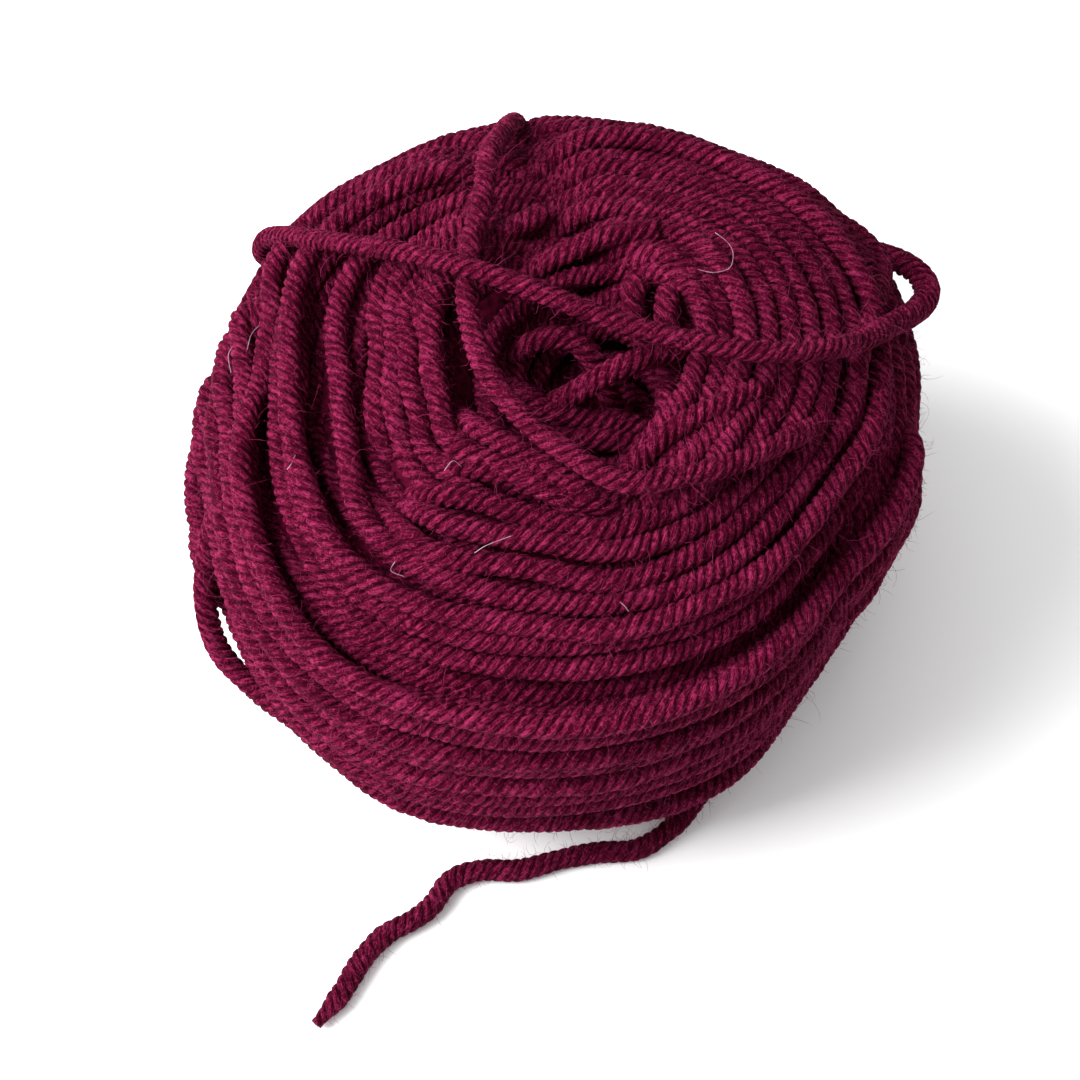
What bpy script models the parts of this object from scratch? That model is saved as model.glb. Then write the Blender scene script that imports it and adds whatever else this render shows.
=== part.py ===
# A ball of burgundy wool yarn, wound from the centre, with a loose tail on the table.
# Metres, +Z up. The origin is under the middle of the ball, on the surface it rests on.
# The ball is one solid: its wound body, the bands of parallel turns laid over it, the
# open middle on top and the single turns that stand proud or slack. The tail is a cord of
# its own.

import math

import bmesh
import bpy
from mathutils import Vector

mm = 0.001

yarnDiameter = 3.0 * mm
ballHeight = 68.0 * mm
bodyDepth = 2.2 * mm        # how far the plain body lies under the tops of the turns
bodyFadeHeight = 6.0 * mm   # below this the body swells out to the full form, to rest on it
sideFullness = 2.6          # 2 is an ellipse in side view, more is boxier
flatSpotHeight = 0.6 * mm   # everything lower than this is pressed flat by the ball's weight

# Half widths of the ball at its waist, seen from above
waistTable = [
    {"azimuth": 0, "halfWidth": 47.0},
    {"azimuth": 30, "halfWidth": 48.0},
    {"azimuth": 60, "halfWidth": 45.5},
    {"azimuth": 90, "halfWidth": 44.5},
    {"azimuth": 120, "halfWidth": 44.0},
    {"azimuth": 150, "halfWidth": 44.5},
    {"azimuth": 180, "halfWidth": 45.0},
    {"azimuth": 210, "halfWidth": 46.5},
    {"azimuth": 240, "halfWidth": 49.0},
    {"azimuth": 270, "halfWidth": 47.0},
    {"azimuth": 300, "halfWidth": 46.0},
    {"azimuth": 330, "halfWidth": 44.0},
]

# The open middle, a hollow between the turns that pass it
middleHollow = {"x": 5.5 * mm, "y": -5.5 * mm, "rimRadius": 15.0 * mm, "floorRadius": 8.0 * mm,
                "depth": 12.0 * mm}

# Bands of parallel turns. Each edge is the middle line of the band's outermost turn, seen from the
# ball's centre: the azimuths it runs between, and its height angle at even steps from one to the
# other, all in degrees. Lift is how far the band stands over the ball's form, in millimetres.
bandTable = [
    {"name": "waist", "turns": 7, "stations": 16, "lift": -0.8, "ring": True,
     "first": {"azimuths": (-90, 210), "heights": [-17, -13, -4, 3, -4, -14]},
     "last": {"azimuths": (-90, 210), "heights": [-44, -41, -34, -28, -33, -42]}},
    {"name": "back", "turns": 7, "stations": 11, "lift": -0.9, "ring": False,
     "first": {"azimuths": (202, -24), "heights": [-6, 8, 20, 27, 28, 24, 13, 1, -8]},
     "last": {"azimuths": (210, -24), "heights": [-22, -14, -6, 2, 6, 3, -5, -16, -24]}},
    {"name": "shoulder", "turns": 5, "stations": 11, "lift": -0.6, "ring": False,
     "first": {"azimuths": (202, 88), "heights": [4, 19, 28, 35, 39, 42, 44]},
     "last": {"azimuths": (206, 88), "heights": [-8, 1, 10, 18, 24, 27, 30]}},
    {"name": "edge", "turns": 5, "stations": 13, "lift": -0.5, "ring": False,
     "first": {"azimuths": (104, -36), "heights": [44, 42, 38, 36, 33, 28, 24, 18]},
     "last": {"azimuths": (104, -36), "heights": [28, 27, 23, 20, 15, 9, 3, -4]}},
    {"name": "front", "turns": 12, "stations": 15, "lift": -0.1, "ring": False,
     "first": {"azimuths": (156, 360), "heights": [26, 33, 36, 37, 36, 35, 34, 33, 32, 31, 32]},
     "last": {"azimuths": (170, 360), "heights": [6, 3, -2, -9, -15, -18, -19, -15, -8, 2, 10]}},
    {"name": "left", "turns": 8, "stations": 11, "lift": 0.3, "ring": False,
     "first": {"azimuths": (98, 234), "heights": [61, 63, 64, 63, 61, 62, 61, 58, 54]},
     "last": {"azimuths": (103, 224), "heights": [41, 40, 37, 34, 35, 36, 36, 37]}},
    {"name": "middle", "turns": 2, "stations": 8, "lift": 0.2, "ring": False,
     "first": {"azimuths": (-134, -70), "heights": [47, 52, 53, 52, 51, 48]},
     "last": {"azimuths": (-134, -72), "heights": [42, 47, 48, 48, 48, 47]}},
    {"name": "sweep", "turns": 4, "stations": 18, "lift": 0.5, "ring": False,
     "first": {"azimuths": (-133, 96), "heights": [39, 45, 46, 46, 48, 47, 46, 46, 47, 49, 52, 55, 58]},
     "last": {"azimuths": (-130, 99), "heights": [34, 36, 36, 37, 36, 34, 32, 31, 34, 37, 38, 42, 46]}},
    {"name": "right", "turns": 4, "stations": 11, "lift": 0.0, "ring": False,
     "first": {"azimuths": (62, -70), "heights": [76, 67, 62, 61, 61, 61, 60, 56]},
     "last": {"azimuths": (103, -69), "heights": [64, 61, 56, 52, 50, 50, 50, 50, 47]}},
]

# Single turns, their middle lines x, y and z in millimetres: those in the open middle first,
# then the slack turns at the left and right edge, the turn along the rim, and the turn that
# crosses the middle and ends in a loop at the right.
singleTurns = [
    {"name": "arc in the middle", "samples": 7, "sides": 6, "points": [
        (-6.5, -0.5, 57.0), (-5.0, -0.5, 61.0), (-2.0, 0.0, 63.5), (1.5, 0.0, 63.5), (4.5, -1.5, 61.0),
        (7.0, -4.5, 55.0)]},
    {"name": "left wall turn", "samples": 8, "sides": 6, "points": [
        (-10.0, 0.0, 60.0), (-6.0, -4.0, 60.0), (-1.0, -8.0, 60.5), (4.0, -8.5, 59.0), (10.0, -8.5, 57.0),
        (15.0, -12.0, 53.5)]},
    {"name": "knuckle turn", "samples": 9, "sides": 6, "points": [
        (-2.5, -9.0, 57.0), (-1.5, -7.5, 59.5), (3.0, -6.5, 63.0), (7.0, -5.0, 65.0), (12.0, -2.5, 64.0),
        (17.0, 0.0, 62.0), (23.0, 4.5, 60.5)]},
    {"name": "back arc", "samples": 9, "sides": 6, "points": [
        (6.5, 10.5, 60.0), (8.0, 10.0, 63.5), (12.5, 10.5, 66.0), (17.0, 7.5, 64.5), (16.5, 3.0, 61.0),
        (13.0, -1.0, 55.0)]},
    {"name": "back left turn", "samples": 7, "sides": 6, "points": [
        (-6.5, 6.5, 58.0), (-4.0, 9.0, 63.0), (1.5, 11.0, 66.0), (7.0, 13.0, 66.5), (12.0, 14.0, 66.0)]},
    {"name": "right wall turn", "samples": 7, "sides": 6, "points": [
        (5.5, -21.0, 60.0), (9.5, -16.5, 64.0), (14.0, -13.0, 65.0), (20.0, -9.5, 65.0), (23.5, -7.5, 64.5)]},
    {"name": "second rim turn", "samples": 11, "sides": 6, "points": [
        (-1.5, 17.0, 65.5), (-8.0, 12.5, 66.0), (-13.5, 6.5, 66.5), (-15.0, -1.0, 66.5), (-14.0, -9.0, 66.0),
        (-12.5, -15.0, 65.5), (-7.5, -18.0, 65.5), (-1.0, -21.5, 65.0), (4.5, -24.0, 61.0)]},
    {"name": "left edge turn", "samples": 11, "sides": 6, "points": [
        (-38.5, -6.0, 44.0), (-42.5, -11.0, 40.5), (-44.5, -17.5, 34.0), (-43.5, -23.0, 27.5), (-39.0, -27.5, 24.5),
        (-32.0, -33.0, 24.0), (-24.0, -38.5, 22.0), (-15.0, -40.0, 18.0)]},
    {"name": "right edge turn", "samples": 12, "sides": 6, "points": [
        (26.0, 30.5, 51.5), (32.0, 26.5, 53.5), (38.0, 23.5, 52.0), (41.0, 20.0, 51.5), (41.0, 16.0, 53.0),
        (39.0, 9.0, 57.0), (36.5, 1.0, 59.5), (35.5, -6.0, 57.0), (34.0, -10.5, 53.0)]},
    {"name": "rim turn", "samples": 20, "sides": 8, "points": [
        (-4.5, 41.0, 50.0), (-5.5, 38.0, 56.0), (-7.0, 31.0, 62.5), (-8.5, 24.5, 66.5), (-9.0, 17.0, 68.5),
        (-10.5, 8.0, 70.0), (-10.5, 0.0, 70.0), (-8.5, -8.0, 70.0), (-4.0, -14.5, 69.5), (1.0, -19.0, 69.5),
        (7.0, -22.5, 69.0), (13.0, -21.5, 68.0), (20.0, -18.5, 66.0), (27.0, -13.5, 63.0), (32.0, -8.0, 58.5)]},
    {"name": "crossing turn", "samples": 30, "sides": 8, "points": [
        (-37.0, 24.5, 44.0), (-38.0, 23.0, 49.0), (-35.5, 21.0, 55.0), (-27.0, 13.0, 65.0), (-18.0, 8.0, 70.0),
        (-10.0, 4.0, 72.5), (-2.0, 1.0, 72.0), (7.0, -2.5, 71.0), (16.0, -4.5, 70.0), (24.0, -5.0, 68.5),
        (30.0, -3.5, 66.5), (36.0, 0.0, 63.0), (41.0, 6.0, 57.5), (45.0, 11.0, 53.0), (47.0, 15.0, 51.0),
        (46.0, 18.5, 50.5), (43.0, 21.0, 50.0), (39.5, 24.0, 47.5), (35.5, 26.5, 45.0)]},
]

# The tail leaves from under the ball and lies on the table; x, y and z in millimetres
tailPoints = [(22.5, -28.5, 5.0), (21.0, -31.0, 3.0), (19.0, -34.0, 1.8), (15.5, -38.0, 1.5), (11.0, -41.0, 1.5),
              (5.5, -41.5, 1.5), (0.5, -42.5, 1.5), (-5.0, -44.0, 1.5), (-10.0, -44.0, 1.5),
              (-14.0, -45.5, 1.5), (-16.5, -49.0, 1.5), (-19.0, -51.0, 1.5), (-22.5, -53.0, 1.5),
              (-25.5, -56.5, 1.5), (-28.0, -61.0, 1.5), (-31.0, -65.0, 1.5)]

ballCentre = Vector((0.0, 0.0, ballHeight / 2))


def smoothCurve(points, parameter, closed=False):
    """A smooth curve through the points, with the parameter from 0 to 1."""
    spans = len(points) if closed else len(points) - 1
    place = min(max(parameter, 0.0), 1.0) * spans
    span = min(int(place), spans - 1)
    t = place - span

    def at(index):
        if closed:
            return points[index % len(points)]
        if index < 0:
            return points[0] * 2 - points[1]
        if index >= len(points):
            return points[-1] * 2 - points[-2]
        return points[index]

    before, start, end, after = at(span - 1), at(span), at(span + 1), at(span + 2)
    return 0.5 * (2 * start + (end - before) * t + (2 * before - 5 * start + 4 * end - after) * t * t
                  + (3 * start - before - 3 * end + after) * t ** 3)


waistWidths = [Vector((row["halfWidth"] * mm, 0.0)) for row in waistTable]


def waistAt(azimuth):
    return smoothCurve(waistWidths, (math.degrees(azimuth) % 360) / 360, closed=True).x


def surfaceDistance(direction):
    """How far the ball's outer surface is from its centre, along a unit direction."""
    azimuth = math.atan2(direction.y, direction.x)
    across = math.hypot(direction.x, direction.y) / waistAt(azimuth)
    upward = abs(direction.z) / (ballHeight / 2)
    return (across ** sideFullness + upward ** sideFullness) ** (-1 / sideFullness)


def outwardNormal(direction):
    """The outward normal of the surface there, from two small steps across it."""
    side = direction.cross(Vector((0, 0, 1)))
    if side.length < 0.01:
        side = Vector((1, 0, 0))
    side = side.normalized() * 0.02
    rise = side.cross(direction)
    here = direction * surfaceDistance(direction)
    beside = (direction + side).normalized()
    above = (direction + rise).normalized()
    normal = (above * surfaceDistance(above) - here).cross(beside * surfaceDistance(beside) - here)
    normal.normalize()
    return normal if normal.dot(direction) > 0 else -normal


def onSurface(direction, lift):
    """The point over the surface along a direction, the lift measured along the normal."""
    direction = direction.normalized()
    return ballCentre + direction * surfaceDistance(direction) + outwardNormal(direction) * lift


def directionFrom(azimuth, height):
    azimuth, height = math.radians(azimuth), math.radians(height)
    return Vector((math.cos(azimuth) * math.cos(height), math.sin(azimuth) * math.cos(height), math.sin(height)))


def edgeDirections(edge):
    """The directions of a band's edge, at even steps of azimuth."""
    start, end = edge["azimuths"]
    last = len(edge["heights"]) - 1
    return [directionFrom(start + (end - start) * step / last, height) for step, height in enumerate(edge["heights"])]


def hollowDepth(x, y):
    """How deep the open middle is at a point seen from above."""
    distance = math.hypot(x - middleHollow["x"], y - middleHollow["y"])
    rim, floor = middleHollow["rimRadius"], middleHollow["floorRadius"]
    share = min(max((rim - distance) / (rim - floor), 0.0), 1.0)
    return middleHollow["depth"] * share * share * (3 - 2 * share)


def flatten(point):
    """Presses the lowest part of the ball onto the surface it rests on."""
    return Vector((point.x, point.y, 0.0 if point.z < flatSpotHeight else point.z))


def finishMesh(bm, name, collection):
    bmesh.ops.triangulate(bm, faces=[face for face in bm.faces if len(face.verts) > 4])
    bmesh.ops.recalc_face_normals(bm, faces=bm.faces)
    mesh = bpy.data.meshes.new(name)
    bm.to_mesh(mesh)
    bm.free()
    obj = bpy.data.objects.new(name, mesh)
    collection.objects.link(obj)
    return obj


def makeBody(name, segments, rings, collection):
    """The plain wound body under the turns, a sphere pressed to the ball's form."""
    bm = bmesh.new()
    bmesh.ops.create_uvsphere(bm, u_segments=segments, v_segments=rings, radius=1.0)
    top = Vector((middleHollow["x"], middleHollow["y"], ballHeight / 2)).normalized()
    turn = Vector((0, 0, 1)).rotation_difference(top)
    for vert in bm.verts:
        direction = turn @ vert.co
        depth = bodyDepth * min(onSurface(direction, 0.0).z / bodyFadeHeight, 1.0)
        point = onSurface(direction, -depth)
        if point.z > ballHeight / 2:
            point.z -= hollowDepth(point.x, point.y)
        vert.co = flatten(point)
    return finishMesh(bm, name, collection)


def makeBand(row, collection):
    """A band of turns side by side: a strip with one rounded ridge for each turn, sunk in the body."""
    first, last = edgeDirections(row["first"]), edgeDirections(row["last"])
    turns, stations, ring = row["turns"], row["stations"], row["ring"]
    columns = 2 * turns + 1
    ridge, groove, root = 0.1 * mm, -1.5 * mm, -4.0 * mm
    bm = bmesh.new()
    sections = []
    for station in range(stations):
        share = station / (stations if ring else stations - 1)
        start = smoothCurve(first, share, ring).normalized()
        end = smoothCurve(last, share, ring).normalized()
        margin = 0.5 / max(turns - 1, 1)
        sunk = 0.0 if ring or 0 < station < stations - 1 else -2.6 * mm
        section = []
        for column in range(columns):
            across = -margin + (1 + 2 * margin) * column / (columns - 1)
            height = ridge if column % 2 else groove
            section.append(onSurface(start.lerp(end, across), row["lift"] * mm + height + sunk))
        for across in (1 + margin * 0.8, 0.5, -margin * 0.8):
            section.append(onSurface(start.lerp(end, across), row["lift"] * mm + root + sunk))
        sections.append([bm.verts.new(flatten(point)) for point in section])
    count = len(sections[0])
    for station in range(stations if ring else stations - 1):
        here, there = sections[station], sections[(station + 1) % stations]
        for index in range(count):
            after = (index + 1) % count
            bm.faces.new((here[index], here[after], there[after], there[index]))
    if not ring:
        bm.faces.new(sections[0])
        bm.faces.new(list(reversed(sections[-1])))
    return finishMesh(bm, row["name"], collection)


def makeCord(name, route, radius, sides, collection):
    """A round cord along a route, made as a curve and turned into a mesh with welded caps."""
    curve = bpy.data.curves.new(name, "CURVE")
    curve.dimensions = "3D"
    curve.bevel_depth = radius
    curve.bevel_resolution = sides // 2 - 2
    curve.use_fill_caps = True
    spline = curve.splines.new("POLY")
    spline.points.add(len(route) - 1)
    for point, place in zip(spline.points, route):
        point.co = (*place, 1.0)
    guide = bpy.data.objects.new(name + " curve", curve)
    collection.objects.link(guide)
    bpy.context.view_layer.update()
    mesh = bpy.data.meshes.new_from_object(guide.evaluated_get(bpy.context.evaluated_depsgraph_get()))
    mesh.name = name
    bm = bmesh.new()
    bm.from_mesh(mesh)
    bmesh.ops.remove_doubles(bm, verts=bm.verts, dist=0.00001)
    bmesh.ops.recalc_face_normals(bm, faces=bm.faces)
    bm.to_mesh(mesh)
    bm.free()
    obj = bpy.data.objects.new(name, mesh)
    obj.matrix_world = guide.matrix_world
    collection.objects.link(obj)
    bpy.data.objects.remove(guide)
    return obj


def turnRoute(row):
    """The route of a single turn, read from a smooth curve through its points."""
    places = [Vector(point) * mm for point in row["points"]]
    last = row["samples"] - 1
    return [smoothCurve(places, index / last) for index in range(last + 1)]


def setMaterial(obj, name, colour, roughness):
    material = bpy.data.materials.new(name)
    material.use_nodes = True
    shader = material.node_tree.nodes["Principled BSDF"]
    shader.inputs["Base Color"].default_value = (*colour, 1.0)
    shader.inputs["Roughness"].default_value = roughness
    shader.inputs["Metallic"].default_value = 0.0
    material.diffuse_color = (*colour, 1.0)
    obj.data.materials.clear()
    obj.data.materials.append(material)


def fuse(target, tool):
    """Adds the tool's volume to the target and removes the tool."""
    union = target.modifiers.new("add " + tool.name, "BOOLEAN")
    union.operation = "UNION"
    # both meshes are closed; the exact solver loses the body where bands cross at a slant
    union.solver = "MANIFOLD"
    union.object = tool
    bpy.context.view_layer.update()
    mesh = bpy.data.meshes.new_from_object(target.evaluated_get(bpy.context.evaluated_depsgraph_get()))
    target.modifiers.clear()
    target.data = mesh
    bpy.data.objects.remove(tool)


def fillPockets(obj):
    """Fills the small pockets shut in between the turns, by keeping only the outer skin."""
    bm = bmesh.new()
    bm.from_mesh(obj.data)
    unseen = set(bm.verts)
    skins = []
    while unseen:
        skin = {unseen.pop()}
        front = list(skin)
        while front:
            vert = front.pop()
            for edge in vert.link_edges:
                other = edge.other_vert(vert)
                if other in unseen:
                    unseen.remove(other)
                    skin.add(other)
                    front.append(other)
        skins.append(skin)
    outer = max(skins, key=len)
    bmesh.ops.delete(bm, geom=[vert for vert in bm.verts if vert not in outer], context="VERTS")
    bm.to_mesh(obj.data)
    bm.free()


for obj in list(bpy.data.objects):
    bpy.data.objects.remove(obj)

yarnBall = bpy.data.collections.new("wool yarn ball")
bpy.context.scene.collection.children.link(yarnBall)

ball = makeBody("ball", 32, 20, yarnBall)
for row in bandTable:
    fuse(ball, makeBand(row, yarnBall))
for row in singleTurns:
    fuse(ball, makeCord(row["name"], turnRoute(row), yarnDiameter / 2, row["sides"], yarnBall))
fillPockets(ball)
setMaterial(ball, "burgundy wool", (0.10, 0.006, 0.028), 0.9)
ball.data.shade_smooth()
ball.data.set_sharp_from_angle(angle=math.radians(50))

tailPlaces = [Vector(point) * mm for point in tailPoints]
tailRoute = [smoothCurve(tailPlaces, index / 27) for index in range(28)]
tail = makeCord("tail", tailRoute, yarnDiameter / 2, 8, yarnBall)
setMaterial(tail, "burgundy tail yarn", (0.09, 0.006, 0.026), 0.9)
tail.data.shade_smooth()
print("ball triangles", sum(len(face.vertices) - 2 for face in ball.data.polygons))
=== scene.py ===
import math

import bpy
import numpy as np
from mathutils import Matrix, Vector
from mathutils.bvhtree import BVHTree
from mathutils.kdtree import KDTree


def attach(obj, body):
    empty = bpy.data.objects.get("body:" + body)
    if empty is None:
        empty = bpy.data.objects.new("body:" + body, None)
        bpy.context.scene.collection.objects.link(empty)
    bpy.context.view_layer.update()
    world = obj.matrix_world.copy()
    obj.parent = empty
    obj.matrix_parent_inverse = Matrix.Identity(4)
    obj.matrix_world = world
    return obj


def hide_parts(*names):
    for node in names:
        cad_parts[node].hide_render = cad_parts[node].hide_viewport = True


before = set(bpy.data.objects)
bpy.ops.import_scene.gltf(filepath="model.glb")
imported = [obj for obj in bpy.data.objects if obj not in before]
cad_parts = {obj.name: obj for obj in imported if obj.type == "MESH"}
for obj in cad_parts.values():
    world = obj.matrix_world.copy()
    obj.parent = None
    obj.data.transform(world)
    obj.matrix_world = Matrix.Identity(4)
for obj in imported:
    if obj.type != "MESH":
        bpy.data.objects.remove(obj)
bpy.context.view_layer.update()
bpy.ops.object.select_all(action="DESELECT")
mm = 0.001
print("frame loaded")

# The ball's form

ballForm = {
    "height": 68.0 * mm,
    "fullness": 2.6,  # 2 is an ellipse in side view, more is boxier
    # half widths in mm, every 30 degrees from +X
    "waist": [47.5, 50.0, 45.0, 43.0, 43.0, 44.5, 44.5, 48.0, 49.0, 47.0, 46.0, 43.5],
    "middle": (5.5 * mm, -5.5 * mm),
    "rimRadius": 15.0 * mm,
    "floorRadius": 8.0 * mm,
    "depth": 12.0 * mm,
}
ballCentre = np.array([0.0, 0.0, ballForm["height"] / 2])


def smoothCurve(points, share, closed=False):
    # a Catmull-Rom curve through the points, read at every share from 0 to 1
    points = np.asarray(points, float)
    share = np.clip(np.atleast_1d(share), 0.0, 1.0)
    count = len(points)
    spans = count if closed else count - 1
    place = share * spans
    span = np.minimum(place.astype(int), spans - 1)
    t = (place - span)[:, None]
    if closed:
        before, start, end, after = (points[(span + step) % count] for step in (-1, 0, 1, 2))
    else:
        padded = np.vstack([2 * points[0] - points[1], points, 2 * points[-1] - points[-2]])
        before, start, end, after = (padded[span + step] for step in (0, 1, 2, 3))
    return 0.5 * (2 * start + (end - before) * t + (2 * before - 5 * start + 4 * end - after) * t ** 2
                  + (3 * start - before - 3 * end + after) * t ** 3)


def unit(vectors):
    return vectors / np.maximum(np.linalg.norm(vectors, axis=-1, keepdims=True), 1e-12)


def waistAt(azimuth):
    share = (np.degrees(azimuth) % 360) / 360
    return smoothCurve(np.array(ballForm["waist"])[:, None] * mm, share, closed=True)[:, 0]


def surfaceDistance(directions):
    azimuth = np.arctan2(directions[:, 1], directions[:, 0])
    across = np.hypot(directions[:, 0], directions[:, 1]) / waistAt(azimuth)
    upward = np.abs(directions[:, 2]) / (ballForm["height"] / 2)
    return (across ** ballForm["fullness"] + upward ** ballForm["fullness"]) ** (-1 / ballForm["fullness"])


def outwardNormals(directions):
    side = np.cross(directions, [0.0, 0.0, 1.0])
    side = np.where(np.linalg.norm(side, axis=1, keepdims=True) < 0.01, [1.0, 0.0, 0.0], side)
    side = unit(side) * 0.02
    rise = np.cross(side, directions)
    here = directions * surfaceDistance(directions)[:, None]
    beside, above = unit(directions + side), unit(directions + rise)
    upward = above * surfaceDistance(above)[:, None] - here
    sideways = beside * surfaceDistance(beside)[:, None] - here
    normals = unit(np.cross(upward, sideways))
    return normals * np.sign(np.sum(normals * directions, axis=1))[:, None]


def directionFrom(pairs):
    azimuth, height = np.radians(np.asarray(pairs, float)).T
    return np.stack([np.cos(azimuth) * np.cos(height), np.sin(azimuth) * np.cos(height), np.sin(height)],
                    axis=1)


def edgeDirections(edge):
    # the directions of a band's edge, at even steps of azimuth
    azimuths = np.linspace(*edge["azimuths"], len(edge["heights"]))
    return directionFrom(np.stack([azimuths, edge["heights"]], axis=1))


def resampled(points, spacing, closed=False):
    # the same line with evenly spaced points
    line = np.vstack([points, points[:1]]) if closed else points
    along = np.concatenate([[0.0], np.cumsum(np.linalg.norm(np.diff(line, axis=0), axis=1))])
    count = max(int(round(along[-1] / spacing)), 3)
    places = np.linspace(0.0, along[-1], count + 1)
    if closed:
        places = places[:-1]
    return np.stack([np.interp(places, along, line[:, axis]) for axis in range(3)], axis=1)


# The single turns of yarn, and how they lie

yarn = {
    "diameter": 3.0 * mm,
    "plies": 4,
    "plyPitch": 5.3 * mm,     # length of one full twist of the plies
    "pitchSpread": 0.08,      # how much the twist differs from turn to turn
    "grooveDepth": 0.18,      # share of the radius
    "girthSpread": 0.05,      # how much a turn swells and thins
    "ringPoints": 16,
    "softness": 0.80,         # how far crossing turns keep apart, in diameters
    "seat": 0.92,             # less lets a turn sink further between those beneath it
    "wander": 0.60 * mm,      # how far a turn strays sideways
    "uneven": 0.35 * mm,      # how far it rises and falls along its way
    "spacingSpread": 0.28,    # how far its place differs, in shares of the space between turns
    "bridge": 7,              # mm on each side over which its tension closes a hollow
    "bridging": 0.65,         # how much of a hollow it closes
    "smoothing": 2.6,         # mm
    "diveLength": 9.0,        # mm at an open end that dive under the neighbours
    "diveDepth": 4.2 * mm,
}
seed = 23
random = np.random.default_rng(seed)

# Bands of parallel turns, from the lowest to the one laid last. Each edge is the middle line of the
# outermost turn, seen from the ball's centre: the azimuths it runs between, and its height angle at
# even steps from one to the other, all in degrees. Base is the height in mm of the band over the
# ball's form, before the turns beneath it lift it, and lifts are added to it turn by turn.
bandTable = [
    {"name": "under", "turns": 10, "ring": True, "base": -0.6,
     "first": {"azimuths": (0, 300), "heights": [-50, -50, -50, -50, -50, -50]},
     "last": {"azimuths": (0, 300), "heights": [-86, -85, -84, -85, -86, -87]}},
    {"name": "waist", "turns": 11, "ring": True, "base": -1.2,
     "first": {"azimuths": (-90, 240), "heights": [-21, -19, -22, -18, -8, 0, 4, 0, -8, -16, -23, -20]},
     "last": {"azimuths": (-90, 240),
              "heights": [-50, -50, -49, -48, -46, -44, -43, -44, -46, -48, -49, -50]}},
    {"name": "fill", "turns": 12, "ring": True, "base": -2.6,
     "first": {"azimuths": (-90, 225), "heights": [59, 58, 60, 66, 70, 71, 69, 64]},
     "last": {"azimuths": (-90, 225), "heights": [16, 16, 18, 20, 24, 24, 20, 18]}},
    {"name": "back", "turns": 9, "ring": False, "base": -1.2,
     "first": {"azimuths": (202, -24), "heights": [-6, 8, 20, 27, 28, 24, 13, 1, -8]},
     "last": {"azimuths": (210, -24), "heights": [-22, -14, -6, 2, 6, 3, -5, -16, -24]}},
    {"name": "shoulder", "turns": 6, "ring": False, "base": -2.0,
     "first": {"azimuths": (202, 88), "heights": [4, 19, 28, 35, 39, 42, 44]},
     "last": {"azimuths": (206, 88), "heights": [-8, 1, 10, 18, 24, 27, 30]}},
    {"name": "edge", "turns": 6, "ring": False, "base": -1.1,
     "first": {"azimuths": (104, -36), "heights": [44, 42, 38, 36, 33, 28, 24, 18]},
     "last": {"azimuths": (104, -36), "heights": [28, 27, 23, 20, 15, 9, 3, -4]}},
    {"name": "front", "turns": 9, "ring": False, "base": -0.5,
     "lifts": [0.2, -0.9, 0.1, -0.5, 0.3, -1.0, 0.0, -0.6, 0.2],
     "first": {"azimuths": (156, 360), "heights": [22, 26, 28, 22, 18, 19, 19, 19, 18, 17, 18]},
     "last": {"azimuths": (171, 360), "heights": [-7, -12, -15, -17, -20, -20, -20, -17, -11, -5]}},
    {"name": "outer", "turns": 3, "ring": False, "base": -0.3,
     "first": {"azimuths": (103, 360), "heights": [46, 44, 41, 39, 40, 36, 32, 32, 32, 31, 31, 30, 31]},
     "last": {"azimuths": (103, 360), "heights": [38, 36, 30, 31, 32, 28, 23, 23, 22, 22, 22, 21, 22]}},
    {"name": "left", "turns": 4, "ring": False, "base": -0.1, "lifts": [0.2, -1.0, 0.0, 0.2],
     "first": {"azimuths": (97, 232), "heights": [65, 67, 68, 66, 65, 66, 63, 57]},
     "last": {"azimuths": (100, 223), "heights": [55, 56, 56, 54, 54, 55, 53, 48]}},
    {"name": "jay", "turns": 2, "ring": False, "base": 0.0,
     "first": {"azimuths": (101, 458),
               "heights": [52, 53, 52, 50, 50, 51, 48, 42, 41, 40, 39, 38, 38, 37, 35, 36, 38, 40, 42, 45,
                           49]},
     "last": {"azimuths": (102, 459),
              "heights": [47, 47, 44, 41, 42, 43, 41, 37, 36, 36, 35, 35, 34, 33, 31, 32, 35, 37, 38, 42,
                          46]}},
    {"name": "middle", "turns": 2, "ring": False, "base": -0.2,
     "first": {"azimuths": (-150, -64), "heights": [64, 61, 59, 59, 58, 55, 52]},
     "last": {"azimuths": (-136, -64), "heights": [52, 55, 57, 57, 55, 52, 49]}},
    {"name": "sweep", "turns": 3, "ring": False, "base": 0.0,
     "first": {"azimuths": (-135, 96), "heights": [46, 52, 52, 49, 48, 47, 46, 46, 47, 49, 52, 55, 58]},
     "last": {"azimuths": (-136, 97), "heights": [44, 43, 44, 41, 41, 41, 39, 39, 41, 43, 45, 48, 52]}},
    {"name": "right", "turns": 4, "ring": False, "base": 0.0, "lifts": [-2.2, -0.8, 0.1, 0.1],
     "first": {"azimuths": (62, -70), "heights": [76, 67, 62, 61, 61, 61, 60, 56]},
     "last": {"azimuths": (103, -69), "heights": [64, 61, 56, 52, 50, 50, 50, 50, 47]}},
]

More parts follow.
